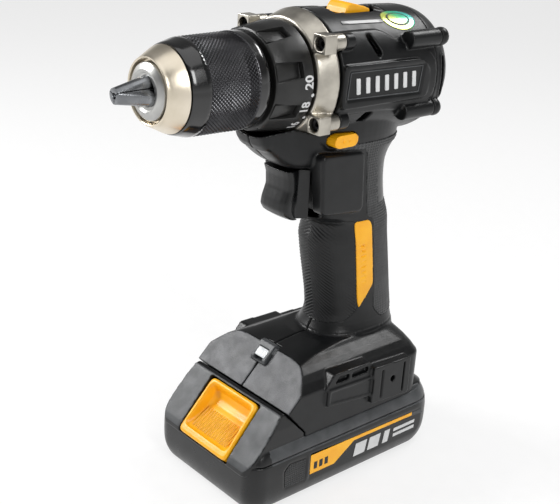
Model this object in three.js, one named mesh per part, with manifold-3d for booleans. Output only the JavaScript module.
// A cordless drill driver with a keyless chuck, a two-speed planetary gearbox, a torque clutch and a
// slide-on battery. Millimetres, +X towards the chuck, +Y to the left side, +Z up.
// The origin is the middle of the battery's flat underside.
import * as THREE from 'three';
import { mergeVertices } from 'three/addons/utils/BufferGeometryUtils.js';
import Module from 'manifold-3d';

const wasm = await Module();
wasm.setup();

// ---------- driving dimensions ----------
const CLEAR = 0.3;            // gap between pieces that seat on each other
const SIDES = 30;             // facets round the large turned pieces
const WALL = 2.5;             // moulded housing wall
const SPINDLE_Z = 200;        // height of the spindle axis above the battery's underside
const up = (height) => SPINDLE_Z + height;   // a height measured from the spindle axis

// stations along the spindle, from the back forwards
const REAR_END = -52.4;       // back face of the rear cap
const CAP_SEAM = -41.8;       // joint between the shells and the rear cap
const MOTOR_REAR = -43;       // back of the motor can
const MOTOR_LENGTH = 38;
const FAN_WIDTH = 5;
const GEAR_WIDTH = 5.6;       // face width of every gear
const SHELL_FRONT = 20.2;     // front edge of the plastic shells
const COLLAR_REAR = SHELL_FRONT + 2 * CLEAR;
const COLLAR_FRONT = 31;      // front face of the metal collar
const TORQUE_REAR = 32.2;
const TORQUE_FRONT = 51.3;
const SLEEVE_REAR = 53.3;
const KNURL_REAR = 58.9;
const KNURL_FRONT = 84.5;
const SHOULDER = 86;          // front of the black band
const CONE_REAR = 92.4;       // back of the bare metal cone
const CONE_FRONT = 101.6;
const BODY_FACE = 103;        // front face of the chuck body
const JAW_TIP = 117.2;
const CHUCK_SEAT = TORQUE_FRONT + 3;
const SHANK = 11.3;           // depth of the chuck's rear socket

// radii about the spindle
const BARREL_FRONT_R = 29;
const BARREL_REAR_R = 29.8;
const BARREL_DROP = 2.8;      // the back of the barrel sits this much lower
const CAP_REAR_R = 27.2;
const COLLAR_R = 25.6;        // front rim of the metal collar
const NOSE_R = 16.5;          // tube in front of the collar
const SPIGOT_R = 24.6;        // part of the gear case inside the shells
const TORQUE_FRONT_R = 22.6;
const TORQUE_REAR_R = 24.8;
const SLEEVE_R = 21.4;
const CONE_R = 18.4;
const LIP_R = 14.3;
const BODY_R = 9.4;
const SPINDLE_R = 4.9;
const MOTOR_R = 19;

// planetary gears
const MODULE = 0.85;
const SUN_TEETH = 12;
const PLANET_TEETH = 15;
const RING_TEETH = SUN_TEETH + 2 * PLANET_TEETH;
const PLANETS = 3;
const PIN_R = 1.8;
const GEAR_BACKLASH = 0.16;   // taken off each flank at the pitch circle
const RING_R = 21.4;          // outside of both ring gears

// chuck
const JAWS = 3;
const JAW_ANGLE = THREE.MathUtils.degToRad(13.5);
const JAW_R = 4;
const JAW_LENGTH = 35;
const JAW_SWING = 0.9;        // how far the jaw axis passes the spindle axis at its tip
const JAW_TRAVEL = 27.8;      // slide along the bore, which opens the chuck to 13 mm
const SPLIT = 0.2;            // half the gap between closed jaws

// handle and foot
const HANDLE_TOP = up(-72);  // lower edge of the trigger housing
const RING_SEAM = 66;         // groove round the bottom of the grip
const FOOT_HALF = 35;
const FOOT_BOTTOM = 31.4;
const FOOT_REAR = -50;
const FOOT_CREASE = 54.5;     // top of the upright foot wall
const RUBBER = 1.3;           // thickness of the moulded-on grip

// battery
const PACK_HALF = 38.2;
const PACK_REAR = -64;
const PACK_TOP = FOOT_BOTTOM - CLEAR;
const PACK_WALL = 2.2;
const CELL_R = 9.1;
const CELL_LENGTH = 65;
const RAIL_HALF = 28.5;       // wide part of the battery's rail
const RAIL_NECK = 24;
const RAIL_BASE_HALF = 29;
const RAIL_BASE = 34.6;
const RAIL_STEP = 38.3;
const RAIL_TOP = 44.6;
const RAIL_CLEAR = 0.4;

// trigger group
const TRIGGER_HALF = 8.6;
const TRIGGER_TRAVEL = 6.5;
const BUTTON_TRAVEL = 3;

// ---------- materials ----------
const paint = (color, roughness, metalness = 0) => new THREE.MeshStandardMaterial({ color, roughness,
  metalness });
const BLACK_PLASTIC = paint(0x2b2b2c, 0.5);
const DARK_RUBBER = paint(0x1c1c1c, 0.85);
const ORANGE = paint(0xf7a51e, 0.4);
const CAST_METAL = paint(0x9c9890, 0.4, 0.9);
const NICKEL = paint(0xc9c2b4, 0.28, 1);
const DARK_STEEL = paint(0x55555a, 0.35, 1);
const STEEL = paint(0x9a9a9e, 0.35, 1);
const COPPER = paint(0xb06b3a, 0.35, 1);
const WHITE_PLASTIC = paint(0xd8d8d4, 0.5);
const CLEAR_LENS = paint(0xe4e8ec, 0.1);
const BOARD_GREEN = paint(0x1d5b34, 0.5);
const CELL_WRAP = paint(0x2e6da8, 0.4);

// ---------- solids ----------
const X_AXIS = new THREE.Vector3(1, 0, 0);
const Y_AXIS = new THREE.Vector3(0, 1, 0);
const Z_AXIS = new THREE.Vector3(0, 0, 1);
const TURN_TO = {
  x: new THREE.Matrix4().makeBasis(Y_AXIS, Z_AXIS, X_AXIS),
  y: new THREE.Matrix4().makeBasis(X_AXIS, Z_AXIS, Y_AXIS.clone().negate()),
  z: new THREE.Matrix4(),
};

// A closed three.js geometry as a solid that can be joined and cut.
function solid(geometry) {
  geometry.deleteAttribute('normal');
  geometry.deleteAttribute('uv');
  const merged = mergeVertices(geometry, 1e-4);
  const corners = [];
  for (let i = 0; i < merged.index.count; i += 3) {
    const [a, b, c] = [0, 1, 2].map((k) => merged.index.getX(i + k));
    if (a !== b && b !== c && c !== a) corners.push(a, b, c);
  }
  return new wasm.Manifold(new wasm.Mesh({
    numProp: 3,
    vertProperties: new Float32Array(merged.attributes.position.array),
    triVerts: new Uint32Array(corners),
  }));
}

const join = (first, ...rest) => rest.reduce((sum, next) => sum.add(next), first);
const cut = (first, ...rest) => rest.reduce((left, next) => left.subtract(next), first);

function outlineShape(outline) {
  return outline instanceof THREE.Shape ? outline : new THREE.Shape(outline.map(([u,
    v]) => new THREE.Vector2(u, v)));
}

// An outline pushed along one axis. The outline's own axes are Y,Z for x; X,Z for y; X,Y for z.
function prism(outline, axis, from, to) {
  const settings = { depth: to - from, bevelEnabled: false, curveSegments: 6 };
  const geometry = new THREE.ExtrudeGeometry(outlineShape(outline), settings);
  geometry.applyMatrix4(TURN_TO[axis]);
  const start = axis === 'y' ? to : from;
  const places = { x: [start, 0, 0], y: [0, start, 0], z: [0, 0, start] };
  geometry.translate(...places[axis]);
  return solid(geometry);
}

const rectangle = (u0, u1, v0, v1) => [[u0, v0], [u1, v0], [u1, v1], [u0, v1]];
const box = (x0, x1, y0, y1, z0, z1) => prism(rectangle(x0, x1, z0, z1), 'y', y0, y1);

function circlePoints(u, v, radius, count) {
  return Array.from({ length: count }, (_, i) => {
    const angle = (2 * Math.PI * (i + 0.5)) / count;
    return [u + radius * Math.cos(angle), v + radius * Math.sin(angle)];
  });
}

const rod = (axis, from, to, radius, u, v, sides = 12) => prism(circlePoints(u, v, radius, sides), axis,
  from, to);
const onSpindle = (from, to, radius, sides = SIDES) => rod('x', from, to, radius, 0, SPINDLE_Z, sides);

// A stadium outline between two centres.
function pill(u0, v0, u1, v1, radius, steps = 4) {
  const lean = Math.atan2(v1 - v0, u1 - u0);
  const points = [];
  for (const [u, v, side] of [[u1, v1, -1], [u0, v0, 1]]) {
    for (let i = 0; i <= steps; i++) {
      const angle = lean + side * Math.PI / 2 + (Math.PI * i) / steps;
      points.push([u + radius * Math.cos(angle), v + radius * Math.sin(angle)]);
    }
  }
  return points;
}

// A profile of [x, radius] points turned about the spindle; open profiles start and end on the axis.
function turned(profile, sides = SIDES) {
  const geometry = new THREE.LatheGeometry(profile.map(([x, r]) => new THREE.Vector2(r, x)), sides);
  geometry.rotateZ(-Math.PI / 2);
  geometry.translate(0, 0, SPINDLE_Z);
  return solid(geometry);
}

const tube = (from, to, outer, inner, sides = SIDES) => turned(
  [[from, inner], [from, outer], [to, outer], [to, inner], [from, inner]], sides);

// Skins rings of equal count; rings run anticlockwise as seen from the end they travel to.
function loft(rings) {
  const count = rings[0].length;
  const index = [];
  for (let r = 0; r + 1 < rings.length; r++) {
    for (let i = 0; i < count; i++) {
      const a = r * count + i;
      const b = r * count + ((i + 1) % count);
      index.push(a, b, b + count, a, b + count, a + count);
    }
  }
  const last = (rings.length - 1) * count;
  for (let i = 1; i + 1 < count; i++) {
    index.push(0, i + 1, i, last, last + i, last + i + 1);
  }
  const geometry = new THREE.BufferGeometry();
  geometry.setAttribute('position', new THREE.Float32BufferAttribute(rings.flat(2), 3));
  geometry.setIndex(index);
  return solid(geometry);
}

// A superellipse ring; place() turns its two coordinates, -1 to 1, into a point.
function superRing(count, power, place) {
  return Array.from({ length: count }, (_, i) => {
    const angle = (2 * Math.PI * i) / count;
    const bend = (value) => Math.sign(value) * Math.abs(value) ** (2 / power);
    return place(bend(Math.cos(angle)), bend(Math.sin(angle)));
  });
}

// A level rectangle with round corners, one radius at the back and one at the front.
function cornerRing(back, front, half, backR, frontR, z, steps = 4) {
  const corners = [[front - frontR, half - frontR, frontR, 0], [back + backR, half - backR, backR, 1],
    [back + backR, backR - half, backR, 2], [front - frontR, frontR - half, frontR, 3]];
  return corners.flatMap(([x, y, radius, quarter]) => Array.from({ length: steps + 1 }, (_, i) => {
    const angle = (quarter + i / steps) * Math.PI / 2;
    return [x + radius * Math.cos(angle), y + radius * Math.sin(angle), z];
  }));
}

// Moves every edge of an anticlockwise outline outwards.
function grow(outline, distance) {
  return outline.map((point, i) => {
    const before = outline[(i + outline.length - 1) % outline.length];
    const after = outline[(i + 1) % outline.length];
    const [first, second] = [[before, point], [point, after]].map(([p, q]) => {
      const length = Math.hypot(q[0] - p[0], q[1] - p[1]);
      return [(q[1] - p[1]) / length, (p[0] - q[0]) / length];
    });
    const share = distance / (1 + first[0] * second[0] + first[1] * second[1]);
    return [point[0] + share * (first[0] + second[0]), point[1] + share * (first[1] + second[1])];
  });
}

// Turns a solid about the spindle by an angle in radians.
function aboutSpindle(piece, angle) {
  return piece.translate([0, 0, -SPINDLE_Z]).rotate([THREE.MathUtils.radToDeg(angle), 0, 0])
    .translate([0, 0, SPINDLE_Z]);
}

// ---------- the drill as a group of named pieces ----------
const drill = new THREE.Group();

function add(name, piece, material) {
  const mesh = piece.getMesh();
  const geometry = new THREE.BufferGeometry();
  geometry.setAttribute('position', new THREE.BufferAttribute(new Float32Array(mesh.vertProperties), 3));
  geometry.setIndex(new THREE.BufferAttribute(new Uint32Array(mesh.triVerts), 1));
  geometry.computeVertexNormals();
  const part = new THREE.Mesh(geometry, material);
  part.name = name;
  drill.add(part);
}

// ---------- housing shells ----------
// Handle sections: height, back, front, half width.
const HANDLE_SECTIONS = [
  [58, -52, -3.2, 17.6],
  [73, -50.3, -3.9, 17.2],
  [82, -48.7, -2.3, 17],
  [100, -45.2, 1.8, 17.3],
  [115, -42.4, 5, 17.6],
  [HANDLE_TOP, -39.9, 7.4, 17.6],
  [up(-67), -38.2, 13.5, 17.9],
  [up(-59), -36.2, 16.5, 18.2],
  [up(-50), -35, 18.5, 18.6],
  [up(-43), -35.6, 20, 18.8],
  [up(-38), -38, 21.5, 19.4],
  [up(-34), -41.4, 24, 20.2],
  [up(-30), -41.5, 27, 21.2],
  [up(-14), -41.5, 27, 22.5],
];
// Chin sections under the torque ring: station, underside, half width.
const CHIN_SECTIONS = [
  [12, up(-43), 16.6],
  [22, up(-43), 15.4],
  [30.2, up(-41.4), 14],
  [36.6, up(-37.6), 13],
  [42, up(-33), 11.8],
  [46.2, up(-29), 10.2],
  [47.6, up(-25.4), 8.5],
];
const CHIN_TOP = up(-14);
const FRONT_SLOPE = [[28, 62.6], [43.2, 47]];   // top and bottom of the foot's sloping front, x and z

const barrelZ = (x) => SPINDLE_Z - BARREL_DROP * (SHELL_FRONT - x) / (SHELL_FRONT - CAP_SEAM);

function barrel(inset, from, to) {
  const stations = [[from, BARREL_REAR_R], [to, BARREL_FRONT_R]];
  return loft(stations.map(([x, radius]) => superRing(32, 2, (c, s) => [
    x, (radius - inset) * c, barrelZ(x) + (radius - inset) * s])));
}

function handle(inset) {
  return loft(HANDLE_SECTIONS.map(([z, back, front, half]) => superRing(20, 2.35, (c, s) => [
    (back + front) / 2 + ((front - back) / 2 - inset) * c, (half - inset) * s, z])));
}

function chin(inset) {
  return loft(CHIN_SECTIONS.map(([x, underside, half], i) => superRing(14, 2.8, (c, s) => [
    x - (i === CHIN_SECTIONS.length - 1 ? inset : 0), (half - inset) * c,
    (CHIN_TOP + underside + inset) / 2 + ((CHIN_TOP - underside - inset) / 2) * s])));
}

// The foot rises from an upright wall over a bevel to a gently domed top.
function foot(inset) {
  const grown = [
    cornerRing(FOOT_REAR + inset, 46 - inset, FOOT_HALF - inset, 8, 7, FOOT_BOTTOM),
    cornerRing(FOOT_REAR + inset, 46 - inset, FOOT_HALF - inset, 8, 7, FOOT_CREASE - inset / 2),
    cornerRing(FOOT_REAR + 1.5 + inset, 42 - inset, FOOT_HALF - 4 - inset, 9, 9, FOOT_CREASE + 3.4 - inset),
    cornerRing(FOOT_REAR + 3 + inset, 34 - inset, 24 - inset, 12, 12, 62.4 - inset),
    cornerRing(FOOT_REAR + 3.5 + inset, 10 - inset, 19.4 - inset, 15, 15, RING_SEAM - inset),
  ];
  const [top, bottom] = FRONT_SLOPE;
  const slope = [[top[0] - 8 - inset, 70.8], [-80, 70.8], [-80, 20], [31.3 - inset, 20],
    [31.3 - inset, 33.6], [bottom[0] - inset, bottom[1]]];
  return loft(grown).intersect(prism(slope, 'y', -50, 50));
}

// Round lobes that carry the long screws, at both ends of the barrel.
const LOBE_R = 4.1;
const REAR_LOBES = [[26.6, up(16)], [26.6, up(-17.4)], [-26.6, up(16)], [-26.6, up(-17.4)]];
const FRONT_LOBES = [[25.4, up(18.2)], [25.4, up(-17)], [-25.4, up(18.2)], [-25.4, up(-17)]];
const REAR_LOBE_FRONT = -22;
const REAR_LOBE_END = -46.4;
const FRONT_LOBE_FRONT = 32;
const FRONT_LOBE_END = 19;
const SHELL_LOBE = 8;         // length of the plastic lobe behind each metal one
const SCREW_R = 1.9;
const SCREW_HEAD_R = 2.7;

const lobes = (places, from, to) => places.map(([y, z]) => rod('x', from, to, LOBE_R, y, z, 10));

// A flat raised panel on each side of the barrel.
const PANEL = [[SHELL_FRONT, up(-10.6)], [SHELL_FRONT, up(8.2)], [-30, up(7.6)], [-35.5, up(3)],
  [-35.5, up(-10.6)]];
const PANEL_HALF = 30.6;

const TRIGGER_SLOT = rectangle(-2, 40, up(-68.2), up(-43));
const SELECTOR_RECESS = [-27, 11];
const SELECTOR_FLOOR = up(25);
const SELECTOR_PAD = 1.6;     // thickness of the shells under the recess
const SELECTOR_HALF = 6.6;
const DIRECTION_PILL = [[3.1, up(-28.3)], [11.8, up(-28.3)]];
const DIRECTION_R = 3.1;

// Grip rubber and orange stripe as seen from the side.
const RUBBER_OUTLINE = [[12, up(-32.4)], [-48, up(-32.4)], [-60, up(-32)], [-60, 72], [10, 72],
  [14, HANDLE_TOP],
  [-16.5, HANDLE_TOP], [-11, up(-39)], [-6, up(-34)]];
const STRIPE_OUTLINE = [[-7.3, HANDLE_TOP], [-17.8, HANDLE_TOP - 0.2], [-20.3, up(-75)], [-25.6, 92],
  [-16.3, 79.3], [-14.9, 83.3]];

const sideCut = (outline, side) => prism(outline, 'y', side > 0 ? 0.4 : -40, side > 0 ? 40 : -0.4);

// A layer of the handle's skin between two depths below its surface.
const gripBand = (outer, inner) => cut(handle(outer), handle(inner));

// Cross-section of the battery's rail, or of the slot for it when a clearance is given.
function railProfile(clearance, low) {
  const rightSide = [[RAIL_BASE_HALF + clearance, low], [RAIL_BASE_HALF + clearance, RAIL_BASE + clearance],
    [RAIL_NECK + clearance, RAIL_BASE + clearance], [RAIL_NECK + clearance, RAIL_STEP - clearance],
    [RAIL_HALF + clearance, RAIL_STEP - clearance], [RAIL_HALF + clearance, RAIL_TOP + clearance]];
  return [...rightSide, ...rightSide.map(([y, z]) => [-y, z]).reverse()];
}

function housingOutside() {
  const panel = [1, -1].map((side) => prism(PANEL, 'y', side > 0 ? 20 : -PANEL_HALF,
    side > 0 ? PANEL_HALF : -20));
  return join(barrel(0, CAP_SEAM + CLEAR / 2, SHELL_FRONT), handle(0), chin(0), foot(0), ...panel,
    ...lobes(REAR_LOBES, CAP_SEAM + CLEAR / 2, REAR_LOBE_FRONT),
    ...lobes(FRONT_LOBES, FRONT_LOBE_END - SHELL_LOBE, FRONT_LOBE_END - CLEAR));
}

function housingInside() {
  const inFoot = foot(WALL).subtract(box(-60, 60, -40, 40, 0, RAIL_TOP + CLEAR + WALL));
  return join(barrel(WALL, CAP_SEAM - 1, SHELL_FRONT + 1),
    handle(WALL).subtract(box(-60, 40, -30, 30, 0, 60)),
    chin(WALL), inFoot);
}

// Rings inside the barrel that hold the motor.
function motorRibs() {
  return [MOTOR_REAR + 6, MOTOR_REAR + MOTOR_LENGTH - 8].map((x) => cut(
    barrel(1, CAP_SEAM + 1, SHELL_FRONT - 0.5).intersect(onSpindle(x, x + 2.2, 8)),
    onSpindle(x - 1, x + 4, MOTOR_R + CLEAR),
    box(x - 1, x + 4, -6, 6, SPINDLE_Z, SPINDLE_Z + 40)));
}

const SHELL_SCREWS = [[-3, up(-37.6)], [-26, 84], [27, up(-34)]];
const BOSS_R = 3.4;

// Wells on the right side for the heads of the shell screws.
function screwWells() {
  return SHELL_SCREWS.map(([x, z]) => rod('y', -40, -9, SCREW_HEAD_R + CLEAR, x, z, 10));
}

function shellBosses() {
  return SHELL_SCREWS.map(([x, z]) => rod('y', -30, 30, BOSS_R, x, z, 8));
}

function housing() {
  const outside = housingOutside();
  const bosses = shellBosses().map((boss) => boss.intersect(outside));
  const clearForMetal = [
    turned([[PLATE_REAR - 1, 0], [PLATE_REAR - 1, SPIGOT_R + CLEAR], [SHELL_FRONT, SPIGOT_R + CLEAR],
      [SHELL_FRONT, BARREL_FRONT_R + CLEAR], [COLLAR_REAR + 0.3, BARREL_FRONT_R + CLEAR],
      [COLLAR_FRONT + CLEAR, TORQUE_REAR_R + 1], [60, TORQUE_REAR_R + 1], [60, 0]]),
    ...lobes(FRONT_LOBES, FRONT_LOBE_END - CLEAR, 60),
    ...FRONT_LOBES.map(([y, z]) => rod('x', FRONT_LOBE_END - SHELL_LOBE + 1, 40, SCREW_R + 0.15, y, z, 8)),
  ];
  const [recessBack, recessFront] = SELECTOR_RECESS;
  const pad = box(recessBack - 2, recessFront + 2, -10, 10, SELECTOR_FLOOR - SELECTOR_PAD,
    SELECTOR_FLOOR + 1);
  const selectorSlot = [
    box(recessBack, recessFront, -11, 11, SELECTOR_FLOOR, up(40)),
    box(-20.5, -1.5, -4, 4, SELECTOR_FLOOR - 10, up(40)),
  ];
  const vents = [1, -1].flatMap((side) => {
    const [from, to] = side > 0 ? [16, 40] : [-40, -16];
    return [prism(pill(3, up(19.2), 0.4, up(13), 1.9), 'y', from, to),
      prism(pill(-1, up(-18), 1.6, up(-21.4), 1.5), 'y', from, to)];
  });
  const openings = [
    prism(TRIGGER_SLOT, 'y', -TRIGGER_HALF - CLEAR, TRIGGER_HALF + CLEAR),
    prism(pill(...DIRECTION_PILL[0], ...DIRECTION_PILL[1], DIRECTION_R + CLEAR), 'y', -30, 30),
    prism(railProfile(RAIL_CLEAR, 20), 'x', -80, 60),
    terminalPocket(),
    prism(grow(LENS, CLEAR), 'y', -LENS_HALF - CLEAR, LENS_HALF + CLEAR),
  ];
  const grip = gripBand(-1, RUBBER + 0.2);
  const gripCuts = [1, -1].flatMap((side) => [
    grip.intersect(sideCut(grow(RUBBER_OUTLINE, 0.2), side)),
    grip.intersect(sideCut(grow(STRIPE_OUTLINE, 0.2), side)),
  ]);
  const screwHoles = SHELL_SCREWS.map(([x, z]) => rod('y', -12, 12, SCREW_R + 0.15, x, z, 8));
  const lobeHoles = REAR_LOBES.map(([y, z]) => rod('x', CAP_SEAM - 1, CAP_SEAM + 13, SCREW_R + 0.15, y, z,
    8));
  const hollow = cut(outside, housingInside());
  return cut(join(hollow, pad.intersect(outside), ...bosses, ...motorRibs()), ...clearForMetal,
    ...selectorSlot, ...vents, ...openings,
    ...gripCuts, ...screwHoles, ...screwWells(), ...lobeHoles, switchPocket());
}

// ---------- trigger group ----------
const SWITCH = { back: -21, front: 9.5, half: TRIGGER_HALF - 2 * CLEAR, low: up(-66), high: up(-43.6) };
const STEM_Z = up(-52);
const STEM_R = 1.8;
const TRIGGER_BACK = SWITCH.front + TRIGGER_TRAVEL + 1;
const BUTTON_STAND = 2.2;     // how far the direction button stands further out on the left at rest

function switchPocket() {
  return box(SWITCH.back - CLEAR, SWITCH.front + CLEAR, -SWITCH.half - CLEAR, SWITCH.half + CLEAR,
    SWITCH.low - CLEAR, SWITCH.high + CLEAR);
}

// A coil spring along +Z from the origin, as one swept wire with flat ends.
function coil(length, radius, wire, turns, stepsPerTurn = 8) {
  class Helix extends THREE.Curve {
    getPoint(t) {
      const angle = 2 * Math.PI * turns * t;
      return new THREE.Vector3(radius * Math.cos(angle), radius * Math.sin(angle),
        wire + (length - 2 * wire) * t);
    }
  }
  const settings = { steps: turns * stepsPerTurn, extrudePath: new Helix() };
  return solid(new THREE.ExtrudeGeometry(outlineShape(circlePoints(0, 0, wire, 5)), settings));
}

function buildTriggerGroup() {
  const stemHole = rod('x', SWITCH.front - TRIGGER_TRAVEL - 5, SWITCH.front + 1, STEM_R + 0.4, 0, STEM_Z,
    12);
  const block = box(SWITCH.back, SWITCH.front, -SWITCH.half, SWITCH.half, SWITCH.low, SWITCH.high);
  add('switch_body', cut(block, stemHole), BLACK_PLASTIC);

  const side = new THREE.Shape();
  side.moveTo(TRIGGER_BACK, up(-43.4));
  side.lineTo(30.4, up(-43.4));
  side.bezierCurveTo(28.4, up(-48), 28.2, up(-53), 31.6, up(-59));
  side.bezierCurveTo(31.8, up(-61), 30, up(-62.8), 25.8, up(-64.8));
  side.lineTo(TRIGGER_BACK, up(-67.6));
  const bevels = [1, -1].map((hand) => prism([[40, hand * (TRIGGER_HALF + 5)], [40, hand * 1],
    [20.5, hand * (TRIGGER_HALF + 0.5)], [20.5, hand * (TRIGGER_HALF + 5)]], 'z', up(-75), up(-35)));
  const stem = rod('x', SWITCH.front - 4, TRIGGER_BACK + 2, STEM_R, 0, STEM_Z, 12);
  add('trigger', join(cut(prism(side, 'y', -TRIGGER_HALF, TRIGGER_HALF), ...bevels), stem), BLACK_PLASTIC);

  const gap = TRIGGER_BACK - SWITCH.front - 2 * CLEAR;
  const spring = coil(gap, 3.4, 0.45, 4).rotate([0, 90, 0]).translate([SWITCH.front + CLEAR, 0, STEM_Z]);
  add('trigger_spring', spring, STEEL);

  const [rear, front] = DIRECTION_PILL;
  const half = 20.6;
  add('direction_button', prism(pill(...rear, ...front, DIRECTION_R), 'y', -half, half + BUTTON_STAND),
    ORANGE);
}

// ---------- motor ----------
const MOTOR_FRONT = MOTOR_REAR + MOTOR_LENGTH;
const FAN_REAR = MOTOR_FRONT + 1.2;
const PLATE_REAR = FAN_REAR + FAN_WIDTH + 1;
const PLATE_FRONT = PLATE_REAR + 2.4;
const STAGE_1 = PLATE_FRONT + 0.6;               // back face of the first-stage gears
const CARRIER_1 = STAGE_1 + GEAR_WIDTH + 0.5;
const CARRIER_THICK = 2.2;
const STAGE_2 = CARRIER_1 + CARRIER_THICK + 0.6;
const CARRIER_2 = STAGE_2 + GEAR_WIDTH + 0.5;
const BEARING_REAR = CARRIER_2 + CARRIER_THICK + 0.8;
const BEARING_WIDTH = 6;
const BEARING_R = 10.5;
const SHAFT_R = 1.6;

function buildMotor() {
  const wallRear = MOTOR_REAR + 1.6;
  const magnetZone = tube(MOTOR_REAR + 5, MOTOR_FRONT - 8, MOTOR_R - 1, MOTOR_R - 4, 30);
  const magnets = [1, -1].map((hand) => magnetZone.intersect(prism([[0, SPINDLE_Z],
    [30, SPINDLE_Z + hand * 14],
    [30, SPINDLE_Z + hand * 40], [-30, SPINDLE_Z + hand * 40], [-30, SPINDLE_Z + hand * 14]], 'x',
      MOTOR_REAR, MOTOR_FRONT)));
  const vents = (from, to, start) => [0, 1].map((i) => aboutSpindle(
    box(from, to, 8, 14, SPINDLE_Z - 3.5, SPINDLE_Z + 3.5), start + i * Math.PI));
  const can = cut(onSpindle(MOTOR_REAR, MOTOR_FRONT - 4, MOTOR_R, 30),
    onSpindle(wallRear, MOTOR_FRONT, MOTOR_R - 1.4, 30),
    onSpindle(MOTOR_REAR - 1, wallRear + 1, SHAFT_R + 0.3, 10), ...vents(MOTOR_REAR - 1, wallRear + 1, 0));
  add('motor_can', join(can, ...magnets), STEEL);
  add('brush_cap', cut(onSpindle(MOTOR_FRONT - 4 + CLEAR / 3, MOTOR_FRONT, MOTOR_R, 30),
    onSpindle(MOTOR_FRONT - 5, MOTOR_FRONT + 1, SHAFT_R + 0.3, 10),
    ...vents(MOTOR_FRONT - 5, MOTOR_FRONT + 1, Math.PI / 2)), BLACK_PLASTIC);

  const core = onSpindle(MOTOR_REAR + 8, MOTOR_FRONT - 12, MOTOR_R - 4.7, 25);
  const slots = Array.from({ length: 5 }, (_, i) => aboutSpindle(
    box(MOTOR_REAR + 7, MOTOR_FRONT - 10, 8.5, 16, SPINDLE_Z - 1.2, SPINDLE_Z + 1.2),
      (2 * Math.PI * i) / 5));
  const commutator = onSpindle(MOTOR_FRONT - 12.5, MOTOR_FRONT - 4.6, 5, 12);
  const shaft = onSpindle(MOTOR_REAR - 2, STAGE_1 + 1, SHAFT_R, 10);
  const pinion = prism(gearOutline(SUN_TEETH, 0, false), 'x', STAGE_1, STAGE_1 + GEAR_WIDTH);
  add('rotor', join(cut(core, ...slots), commutator, shaft, pinion), COPPER);

  const bore = SHAFT_R + 0.05;
  const hub = tube(FAN_REAR, FAN_REAR + FAN_WIDTH, 5, bore, 14);
  const disc = tube(FAN_REAR, FAN_REAR + 1.4, MOTOR_R - 1.5, bore, 24);
  const blades = Array.from({ length: 9 }, (_, i) => aboutSpindle(
    box(FAN_REAR + 0.5, FAN_REAR + FAN_WIDTH, 4.5, MOTOR_R - 2, SPINDLE_Z - 0.6, SPINDLE_Z + 0.6),
      (2 * Math.PI * i) / 9));
  add('cooling_fan', join(hub, disc, ...blades), WHITE_PLASTIC);
}

// ---------- planetary gearbox ----------
const ORBIT = (MODULE * (SUN_TEETH + PLANET_TEETH)) / 2;
const ADDENDUM = 0.85 * MODULE;
const DEDENDUM = 1.1 * MODULE;
const FLANK = 0.36;           // change of half tooth thickness per millimetre of height

// A gear outline about its own centre; the first tooth points along angle start.
function gearOutline(teeth, start, inner, u = 0, v = SPINDLE_Z) {
  const pitchR = (MODULE * teeth) / 2;
  const sign = inner ? -1 : 1;
  const rootR = pitchR - sign * DEDENDUM;
  const tipR = pitchR + sign * ADDENDUM;
  const half = (Math.PI * MODULE) / 4 - GEAR_BACKLASH;
  const rootHalf = half + FLANK * DEDENDUM;
  const tipHalf = half - FLANK * ADDENDUM;
  const points = [];
  for (let i = 0; i < teeth; i++) {
    const middle = start + (2 * Math.PI * i) / teeth;
    const steps = [[rootR, -rootHalf / rootR], [tipR, -tipHalf / tipR], [tipR, tipHalf / tipR],
      [rootR, rootHalf / rootR]];
    for (const [radius, turn] of steps) {
      points.push([u + radius * Math.cos(middle + turn), v + radius * Math.sin(middle + turn)]);
    }
  }
  return points;
}

const planetAngle = (i) => Math.PI / 2 + (2 * Math.PI * i) / PLANETS;

function planetCentre(i) {
  return [ORBIT * Math.cos(planetAngle(i)), SPINDLE_Z + ORBIT * Math.sin(planetAngle(i))];
}

function addPlanets(stage, from) {
  for (let i = 0; i < PLANETS; i++) {
    const [y, z] = planetCentre(i);
    const gapTowardsSun = planetAngle(i) + Math.PI + Math.PI / PLANET_TEETH;
    const wheel = prism(gearOutline(PLANET_TEETH, gapTowardsSun, false, y, z), 'x', from,
      from + GEAR_WIDTH);
    add(`stage_${stage}_planet_${i + 1}`, cut(wheel, rod('x', from - 1, from + 8, PIN_R + 0.1, y, z, 10)),
      STEEL);
  }
}

const carrierPins = (from, to) => Array.from({ length: PLANETS }, (_, i) => {
  const [y, z] = planetCentre(i);
  return rod('x', from, to, PIN_R, y, z, 10);
});

function ringGear(from, to, groove) {
  const body = cut(onSpindle(from, to, RING_R, 30),
    prism(gearOutline(RING_TEETH, 0, true), 'x', from - 1, to + 1));
  return groove ? cut(body, tube((from + to) / 2 - 1.1, (from + to) / 2 + 1.1, RING_R + 2, RING_R - 1,
    30)) : body;
}

const RING_2_FROM = STAGE_2 - 0.2;
const RING_2_TO = STAGE_2 + GEAR_WIDTH + 0.6;
const FORK_X = (RING_2_FROM + RING_2_TO) / 2;
const FORK_R = RING_R - 0.6;

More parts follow.
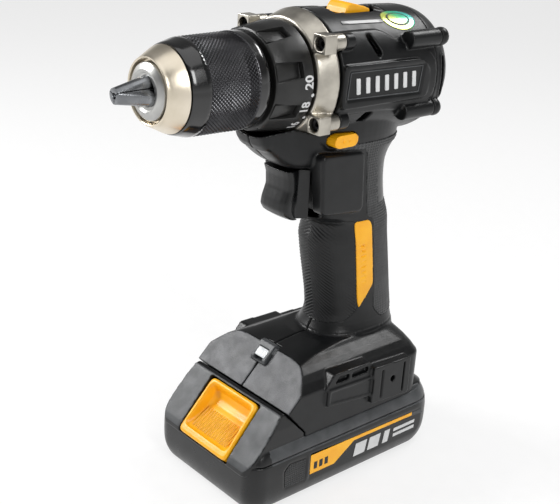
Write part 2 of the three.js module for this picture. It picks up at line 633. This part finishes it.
function buildGearbox() {
  const plate = cut(onSpindle(PLATE_REAR, PLATE_FRONT + 0.5, RING_R, 30),
    onSpindle(PLATE_REAR - 1, PLATE_FRONT + 1, 4, 12));
  add('fixed_ring_gear', join(plate, ringGear(PLATE_FRONT, STAGE_1 + GEAR_WIDTH - 1.3, false)), STEEL);
  addPlanets(1, STAGE_1);
  const carrierR = ORBIT + PIN_R + 2.6;
  const secondSun = prism(gearOutline(SUN_TEETH, 0, false), 'x', CARRIER_1 + 1, STAGE_2 + GEAR_WIDTH);
  add('first_carrier', join(onSpindle(CARRIER_1, CARRIER_1 + CARRIER_THICK, carrierR, 24), secondSun,
    ...carrierPins(STAGE_1 + 0.4, CARRIER_1 + 1)), STEEL);
  addPlanets(2, STAGE_2);
  add('shift_ring_gear', ringGear(RING_2_FROM, RING_2_TO, true), STEEL);
  const flat = box(CHUCK_SEAT + 2, CHUCK_SEAT + 20, SPINDLE_R - 0.7, 10, SPINDLE_Z - 6, SPINDLE_Z + 6);
  const socket = onSpindle(CHUCK_SEAT + 4, CHUCK_SEAT + 20, 2.3, 12);
  add('output_spindle', cut(join(onSpindle(CARRIER_2, CARRIER_2 + CARRIER_THICK, carrierR, 24),
    ...carrierPins(STAGE_2 + 0.4, CARRIER_2 + 1), onSpindle(CARRIER_2 + 1, CHUCK_SEAT + 11, SPINDLE_R, 20)),
  flat, socket), STEEL);
  add('spindle_bearing', tube(BEARING_REAR, BEARING_REAR + BEARING_WIDTH, BEARING_R, SPINDLE_R + 0.1, 24),
    STEEL);
}

function buildGearCase() {
  const rear = PLATE_REAR - 0.3;
  const nose = TORQUE_FRONT - 2;
  const shellPart = turned([[rear, 0], [rear, SPIGOT_R], [COLLAR_REAR, SPIGOT_R],
    [COLLAR_REAR, BARREL_FRONT_R],
    [COLLAR_FRONT - 2, COLLAR_R + 0.8], [COLLAR_FRONT, COLLAR_R], [COLLAR_FRONT, NOSE_R], [nose, NOSE_R],
      [nose, 0]]);
  const inside = turned([[rear - 1, 0], [rear - 1, RING_R + CLEAR], [RING_2_TO + 0.6, RING_R + CLEAR],
    [RING_2_TO + 1.6, 17.6], [BEARING_REAR - 0.4, 17.6], [BEARING_REAR - 0.4, BEARING_R + 0.1],
    [BEARING_REAR + BEARING_WIDTH + 0.1, BEARING_R + 0.1],
      [BEARING_REAR + BEARING_WIDTH + 0.1, BEARING_R - 1.2],
    [60, BEARING_R - 1.2], [60, 0]], 30);
  const forkSlot = box(rear - 1, RING_2_TO + 0.4, -4.6, 4.6, SPINDLE_Z + 18, SPINDLE_Z + 26);
  const blocks = FRONT_LOBES.map(([y, z]) => join(
    box(COLLAR_REAR, FRONT_LOBE_FRONT, y - LOBE_R, y + LOBE_R, z - LOBE_R, z + LOBE_R),
    rod('x', FRONT_LOBE_END, COLLAR_REAR + 1, LOBE_R - 0.3, y, z, 10)));
  const screwBores = FRONT_LOBES.map(([y, z]) => join(
    rod('x', FRONT_LOBE_END - 1, 40, SCREW_R + 0.15, y, z, 8),
    rod('x', FRONT_LOBE_FRONT - 4.6, 40, SCREW_HEAD_R + 0.4, y, z, 10)));
  add('gear_case', cut(join(shellPart, ...blocks), inside, forkSlot, ...screwBores), CAST_METAL);
}

// The selector, the fork it carries and the ring gear slide together.
function buildSpeedSelector() {
  const base = SELECTOR_FLOOR + CLEAR;
  const ridge = [[-16.5, base], [-1, base], [-2.2, up(28.6)], [-3.8, up(30)], [-6.5, up(30.2)],
    [-15.7, up(27.8)], [-16.5, up(26.6)]];
  const strapTop = SELECTOR_FLOOR - SELECTOR_PAD - CLEAR;
  const stem = box(-15, -3, -3.2, 3.2, strapTop + 0.1, base + 1);
  add('speed_selector', join(prism(ridge, 'y', -SELECTOR_HALF, SELECTOR_HALF), stem), ORANGE);
  const strap = box(-14, FORK_X + 0.8, -2.6, 2.6, strapTop - 1.2, strapTop);
  const finger = box(FORK_X - 0.8, FORK_X + 0.8, -2.6, 2.6, SPINDLE_Z + FORK_R, strapTop - 0.5);
  add('shift_fork', join(strap, finger), STEEL);
}

// ---------- clutch ----------
const NUT_FROM = 43;
const NUT_WIDTH = 4;
const POCKET_START = Math.PI / 10;   // where the first grip pocket of the torque ring sits

function buildClutch() {
  const grooves = 8;
  const ringBody = turned([[TORQUE_REAR, 19.6], [TORQUE_REAR, TORQUE_REAR_R],
    [TORQUE_REAR + 5.5, TORQUE_REAR_R - 0.5],
    [TORQUE_FRONT - 1, TORQUE_FRONT_R], [TORQUE_FRONT, TORQUE_FRONT_R - 1], [TORQUE_FRONT, NOSE_R + 0.5],
    [TORQUE_FRONT - 2, NOSE_R + 0.5], [TORQUE_FRONT - 2, 19.6], [TORQUE_REAR, 19.6]]);
  const pocket = [[TORQUE_REAR + 5.6, SPINDLE_Z + 3.4], [TORQUE_FRONT + 2, SPINDLE_Z + 4.5],
    [TORQUE_FRONT + 2, SPINDLE_Z - 4.5], [TORQUE_REAR + 5.6, SPINDLE_Z - 3.4]];
  const pads = Array.from({ length: grooves }, (_, i) => aboutSpindle(
    prism(pocket, 'y', TORQUE_FRONT_R - 1, 30), POCKET_START + (2 * Math.PI * i) / grooves));
  const keyways = [0, 1, 2].map((i) => aboutSpindle(
    box(TORQUE_REAR + 3, TORQUE_FRONT - 3, 17, 20.6, SPINDLE_Z - 2, SPINDLE_Z + 2), (2 * Math.PI * i) / 3));
  add('torque_ring', cut(ringBody, ...pads, ...keyways), BLACK_PLASTIC);
  const keys = [0, 1, 2].map((i) => aboutSpindle(
    box(NUT_FROM, NUT_FROM + NUT_WIDTH, 18, 20.3, SPINDLE_Z - 1.7, SPINDLE_Z + 1.7),
      (2 * Math.PI * i) / 3));
  add('clutch_nut', join(tube(NUT_FROM, NUT_FROM + NUT_WIDTH, 19.2, NOSE_R + 0.25, 30), ...keys), STEEL);
  const length = NUT_FROM - COLLAR_FRONT - 2 * CLEAR;
  add('clutch_spring', coil(length, NOSE_R + 1.6, 0.7, 3, 15).rotate([0, 90, 0])
    .translate([COLLAR_FRONT + CLEAR, 0, SPINDLE_Z]), STEEL);
}

// ---------- chuck ----------
const NUT_CONE_FROM = 84;
const NUT_CONE_TO = 89.5;
const JAW_SLOPE = Math.tan(JAW_ANGLE);
const SECTOR = Math.PI / 3;

// Outside radius of a jaw at a station; it never changes as the jaw slides.
const jawOutsideR = (x) => (JAW_TIP - x) * JAW_SLOPE - JAW_SWING + JAW_R / Math.cos(JAW_ANGLE);

// A cylinder along one jaw's inclined axis, from a distance behind the tip to one ahead of it.
function jawPin(radius, behind, ahead) {
  return rod('x', -behind, ahead, radius, 0, 0, 14).rotate([0, THREE.MathUtils.radToDeg(JAW_ANGLE), 0])
    .translate([JAW_TIP, 0, SPINDLE_Z - JAW_SWING]);
}

function jaw() {
  const edge = SPINDLE_Z + SPLIT / Math.sin(SECTOR);
  const reach = 30;
  const sector = prism([[0, edge], [reach * Math.sin(SECTOR), edge + reach * Math.cos(SECTOR)],
    [reach, edge + 40],
    [-reach, edge + 40], [-reach * Math.sin(SECTOR), edge + reach * Math.cos(SECTOR)]], 'x', SLEEVE_REAR,
      JAW_TIP);
  return jawPin(JAW_R, JAW_LENGTH, 5).intersect(sector);
}

function buildChuck() {
  const grooveR = jawOutsideR(NUT_CONE_TO) - 0.5;
  const bodyProfile = [[CHUCK_SEAT, 0], [CHUCK_SEAT, 17.8], [66, 17.8], [70, 15.4],
    [NUT_CONE_FROM - CLEAR, 14.6],
    [NUT_CONE_FROM - CLEAR, grooveR], [NUT_CONE_TO + CLEAR, grooveR], [NUT_CONE_TO + CLEAR, 11.6], [95, 11],
    [97.4, BODY_R + 0.3], [BODY_FACE - 0.8, BODY_R], [BODY_FACE, BODY_R - 0.8], [BODY_FACE, 0]];
  const turns = Array.from({ length: JAWS }, (_, i) => (2 * Math.PI * i) / JAWS);
  const bores = turns.map((turn) => aboutSpindle(jawPin(JAW_R + 0.15, JAW_LENGTH + JAW_TRAVEL + 0.5, 10),
    turn));
  const shank = onSpindle(CHUCK_SEAT - 1, CHUCK_SEAT + SHANK, SPINDLE_R + 0.1, 20);
  const socket = onSpindle(CHUCK_SEAT + SHANK - 1, BODY_FACE + 1, 6.2, 18);
  add('chuck_body', cut(turned(bodyProfile, 30), shank, socket, ...bores), STEEL);
  const screwHead = cut(onSpindle(CHUCK_SEAT + SHANK, CHUCK_SEAT + SHANK + 2.7, 4.2, 16),
    prism(circlePoints(0, SPINDLE_Z, 1.5, 6), 'x', CHUCK_SEAT + SHANK + 1, CHUCK_SEAT + SHANK + 5));
  add('chuck_screw', join(screwHead, onSpindle(CHUCK_SEAT + 5, CHUCK_SEAT + SHANK + 0.5, 2, 12)),
    DARK_STEEL);
  turns.forEach((turn, i) => add(`jaw_${i + 1}`, aboutSpindle(jaw(), turn), DARK_STEEL));

  const inner = [NUT_CONE_FROM, NUT_CONE_TO].map((x) => [x, jawOutsideR(x) + 0.25]);
  add('jaw_nut', turned([inner[0], [NUT_CONE_FROM, 16], [NUT_CONE_TO, 16], inner[1], inner[0]], 30), STEEL);
  add('chuck_sleeve', turned([[SLEEVE_REAR, 18.2], [SLEEVE_REAR, SLEEVE_R - 0.8],
    [SLEEVE_REAR + 0.8, SLEEVE_R],
    [KNURL_REAR, SLEEVE_R], [KNURL_FRONT, SLEEVE_R - 0.5], [SHOULDER, SLEEVE_R - 0.7],
      [CONE_REAR, CONE_R + 0.3],
    [CONE_REAR, 16.2], [SHOULDER - 2, 16.2], [SHOULDER - 2, 18.9], [SLEEVE_REAR + 3, 18.9],
      [SLEEVE_REAR + 3, 18.2],
    [SLEEVE_REAR, 18.2]]), BLACK_PLASTIC);
  add('nose_cone', turned([[CONE_REAR + CLEAR, 14.5], [CONE_REAR + CLEAR, CONE_R],
    [CONE_FRONT - 1, LIP_R + 0.3],
    [CONE_FRONT, LIP_R], [CONE_FRONT, LIP_R - 0.8], [CONE_FRONT - 3, LIP_R - 1.3], [CONE_FRONT - 3, 11.4],
    [CONE_REAR + 3, 11.4], [CONE_REAR + CLEAR, 14.5]]), NICKEL);
}

// ---------- rear cap and screws ----------
// A Torx-style cap screw along +X; the head is at the front end when facing is 1, at the back when -1.
function lobeScrew(y, z, headX, tipX, facing) {
  const headLength = 2.2 * facing;
  const [near, far] = [headX, headX - headLength].sort((p, q) => p - q);
  const head = rod('x', near, far, SCREW_HEAD_R, y, z, 12);
  const drive = prism(circlePoints(y, z, 1.3, 6), 'x',
    ...[headX + facing, headX - 1.2 * facing].sort((p, q) => p - q));
  const [low, high] = [tipX, headX - headLength + 0.2 * facing].sort((p, q) => p - q);
  return cut(join(head, rod('x', low, high, SCREW_R, y, z, 8)), drive);
}

function buildRearCap() {
  const seam = CAP_SEAM - CLEAR / 2;
  const centre = SPINDLE_Z - BARREL_DROP;
  const shape = [[REAR_END, CAP_REAR_R - 1.6], [REAR_END + 1.2, CAP_REAR_R],
    [REAR_END + 5, BARREL_REAR_R - 1], [seam, BARREL_REAR_R]];
  const skin = (inset) => loft(shape.map(([x, radius], i) => superRing(32, 2, (c, s) => [
    x + (i === 0 ? inset : 0) + (i === 3 ? Math.min(inset, 1) : 0), (radius - inset) * c,
      centre + (radius - inset) * s])));
  const slots = [1, -1].map((side) => prism(pill(REAR_END + 5.4, up(-11), REAR_END + 5.4, up(6), 1), 'y',
    side > 0 ? 15 : -40, side > 0 ? 40 : -15));
  const bores = REAR_LOBES.map(([y, z]) => join(rod('x', REAR_LOBE_END - 1, seam + 1, SCREW_R + 0.15, y, z,
    8),
    rod('x', REAR_LOBE_END - 5, REAR_LOBE_END + 2.6, SCREW_HEAD_R + CLEAR, y, z, 12)));
  add('rear_cap', cut(join(cut(skin(0), skin(WALL)), ...lobes(REAR_LOBES, REAR_LOBE_END, seam)), ...bores,
    ...slots),
    BLACK_PLASTIC);
  REAR_LOBES.forEach(([y, z], i) => add(`rear_cap_screw_${i + 1}`,
    lobeScrew(y, z, REAR_LOBE_END + 0.2, CAP_SEAM + 12, -1), DARK_STEEL));
  FRONT_LOBES.forEach(([y, z], i) => add(`gear_case_screw_${i + 1}`,
    lobeScrew(y, z, FRONT_LOBE_FRONT - 2.2, FRONT_LOBE_END - 6, 1), DARK_STEEL));
}

// ---------- shells, grips and stripes ----------
function buildShells() {
  const whole = housing();
  add('left_housing_shell', whole.intersect(box(-90, 90, CLEAR / 3, 60, 0, up(60))), BLACK_PLASTIC);
  add('right_housing_shell', whole.intersect(box(-90, 90, -60, -CLEAR / 3, 0, up(60))), BLACK_PLASTIC);
  const band = gripBand(0, RUBBER);
  for (const [name, side] of [['left', 1], ['right', -1]]) {
    const rubber = cut(band.intersect(sideCut(RUBBER_OUTLINE, side)),
      sideCut(grow(STRIPE_OUTLINE, 0.5), side),
      ...screwWells());
    add(`${name}_grip_rubber`, rubber, DARK_RUBBER);
    add(`${name}_accent_stripe`, band.intersect(sideCut(STRIPE_OUTLINE, side)), ORANGE);
  }
  SHELL_SCREWS.forEach(([x, z], i) => {
    const head = -9 - CLEAR;
    const screw = join(rod('y', head - 2, head, SCREW_HEAD_R, x, z, 12),
      rod('y', head - 0.2, 10, SCREW_R, x, z, 8));
    add(`shell_screw_${i + 1}`, cut(screw, prism(circlePoints(x, z, 1.3, 6), 'y', head - 3, head - 0.9)),
      DARK_STEEL);
  });
}

// ---------- electronics in the foot ----------
const LENS = [[23, 57.4], [32.2, 57.4], [33.6, 59.2], [31.6, 64], [24, 65.4], [23, 64]];
const LENS_HALF = 5;
const TERMINAL = { back: -42, front: -26, half: 14, low: RAIL_TOP + 0.8, high: 51 };
const BLADES = [-9, 0, 9];

function terminalPocket() {
  return box(TERMINAL.back - CLEAR, TERMINAL.front + CLEAR, -TERMINAL.half - CLEAR, TERMINAL.half + CLEAR,
    RAIL_TOP - 1, TERMINAL.high + CLEAR);
}

function buildFootParts() {
  add('work_light_lens', prism(LENS, 'y', -LENS_HALF, LENS_HALF), CLEAR_LENS);
  const block = box(TERMINAL.back, TERMINAL.front, -TERMINAL.half, TERMINAL.half, TERMINAL.low,
    TERMINAL.high);
  const blades = BLADES.map((y) => box(TERMINAL.back + 2, TERMINAL.front - 4, y - 0.4, y + 0.4,
    RAIL_TOP - 5, TERMINAL.low + 1));
  add('terminal_block', join(block, ...blades), BLACK_PLASTIC);
  const floor = RAIL_TOP + CLEAR + WALL + CLEAR;
  add('control_board', box(-20, 19, -15, 15, floor, floor + 1.6), BOARD_GREEN);
}

// ---------- battery ----------
// Level sections of the battery body: height, back, front, half width.
const PACK_SECTIONS = [
  [0, -58.5, 51, 35.6],
  [2.6, -61.8, 56, 37.6],
  [9, PACK_REAR + 0.6, 60.4, PACK_HALF],
  [16, -62.4, 63.4, PACK_HALF],
  [22, -59.6, 65.2, PACK_HALF],
  [27, -55.4, 65, PACK_HALF - 0.4],
  [PACK_TOP, -50.5, 64, PACK_HALF - 1.4],
];
const PACK_SPLIT = 25;
const SLOPE_TOP = FRONT_SLOPE[1];
const SLOPE_END = [65, 22.2];
const SLOPE_ANGLE = Math.atan2(SLOPE_TOP[1] - SLOPE_END[1], SLOPE_END[0] - SLOPE_TOP[0]);
const BUTTON = { top: 3.6, bottom: 31, half: 18.6, proud: 1, deep: 6 };
const CELL_X = [-45, -26.5, -8, 10.5, 29];

// Places a solid made on a level plane onto the battery's sloping front, u down the slope.
function onSlope(piece) {
  return piece.rotate([0, THREE.MathUtils.radToDeg(SLOPE_ANGLE), 0]).translate([SLOPE_TOP[0], 0,
    SLOPE_TOP[1]]);
}

function roundedRectangle(u0, u1, v0, v1, radius) {
  const corners = [[u1 - radius, v1 - radius, 0], [u0 + radius, v1 - radius, 1],
    [u0 + radius, v0 + radius, 2],
    [u1 - radius, v0 + radius, 3]];
  return corners.flatMap(([u, v, quarter]) => [0, 0.34, 0.67, 1].map((part) => {
    const angle = ((quarter + part) * Math.PI) / 2;
    return [u + radius * Math.cos(angle), v + radius * Math.sin(angle)];
  }));
}

function packBody(inset) {
  return loft(PACK_SECTIONS.map(([z, back, front, half], i) => {
    const level = i === 0 ? z + inset : (i === PACK_SECTIONS.length - 1 ? z - inset : z);
    return cornerRing(back + inset, front - inset, half - inset, 13, 15, level);
  }));
}

function battery() {
  const slopeCut = [[SLOPE_TOP[0] - 30, SLOPE_TOP[1] + 34.3], SLOPE_TOP, SLOPE_END, [90, 22.2], [90, 90]];
  const nose = loft([[26, 0], [40, 0], [48.2, 1.2]].map(([z, lean]) => cornerRing(29, 66, FOOT_HALF - lean,
    1, 15, z)))
    .intersect(prism([[31.7, 20], [90, 20], [90, 80], [43.6 + 27.2, 77], [43.6, 47], [31.7, 33.6]], 'y',
      -50, 50));
  const rail = prism(railProfile(0, PACK_SPLIT + 1), 'x', -46,
    34).intersect(prism([[-60, 20], [31.4, 20], [31.4, 33.6], [60, 65.1],
    [-60, 65.1]], 'y', -50, 50));
  const step = loft([cornerRing(-60.4, -45, 29, 9, 1, 22), cornerRing(-59.4, -45, 28.4, 9, 1, 34.2)]);
  const whole = join(packBody(0), nose, rail, step);
  const inside = packBody(PACK_WALL).intersect(box(-70, 40.2, -36, 36, -5, 40));
  const bladeSlots = BLADES.map((y) => box(-70, TERMINAL.front - 2, y - 1, y + 1, RAIL_TOP - 5.6, 60));
  const pocket = onSlope(prism(roundedRectangle(BUTTON.top - CLEAR, BUTTON.bottom + CLEAR + 0.2,
    -BUTTON.half - CLEAR,
    BUTTON.half + CLEAR, 4), 'z', -BUTTON.deep - BUTTON_TRAVEL - 0.6, 20));
  return cut(whole, prism(slopeCut, 'y', -50, 50), inside, ...bladeSlots, pocket);
}

function buildBattery() {
  const whole = battery();
  add('battery_case', whole.intersect(box(-90, 90, -50, 50, -5, PACK_SPLIT - CLEAR / 2)), BLACK_PLASTIC);
  add('battery_lid', whole.intersect(box(-90, 90, -50, 50, PACK_SPLIT + CLEAR / 2, 80)), BLACK_PLASTIC);
  const cellZ = PACK_WALL + CLEAR + CELL_R;
  const cells = CELL_X.map((x) => rod('y', -CELL_LENGTH / 2, CELL_LENGTH / 2, CELL_R, x, cellZ, 14));
  const holder = [-1, 1].map((side) => box(CELL_X[0] - 3, CELL_X[4] + 3, side * 22 - 4, side * 22 + 4,
    cellZ - 3, cellZ + 3));
  add('cell_pack', join(...cells, ...holder), CELL_WRAP);
  add('cell_board', box(-44, 28, -16, 16, cellZ + CELL_R + CLEAR, cellZ + CELL_R + CLEAR + 1.6),
    BOARD_GREEN);

  const plate = prism(roundedRectangle(BUTTON.top, BUTTON.bottom, -BUTTON.half, BUTTON.half, 3.7), 'z',
    -BUTTON.deep, BUTTON.proud);
  const scoop = prism([[7.2, BUTTON.proud + 1], [7.2, -0.6], [9, -3.4], [13, -3.6], [28.4, -0.2],
    [28.4, BUTTON.proud + 1]],
    'y', -14.6, 14.6);
  add('release_button', onSlope(cut(plate, scoop)), ORANGE);
  const middle = (BUTTON.top + BUTTON.bottom) / 2;
  add('button_spring', onSlope(coil(BUTTON_TRAVEL, 4, 0.5,
    2).translate([middle, 0, -BUTTON.deep - BUTTON_TRAVEL - 0.3])), STEEL);
}

// ---------- build everything ----------
buildShells();
buildRearCap();
buildFootParts();
buildTriggerGroup();
buildMotor();
buildGearbox();
buildGearCase();
buildSpeedSelector();
buildClutch();
buildChuck();
buildBattery();

export default drill;
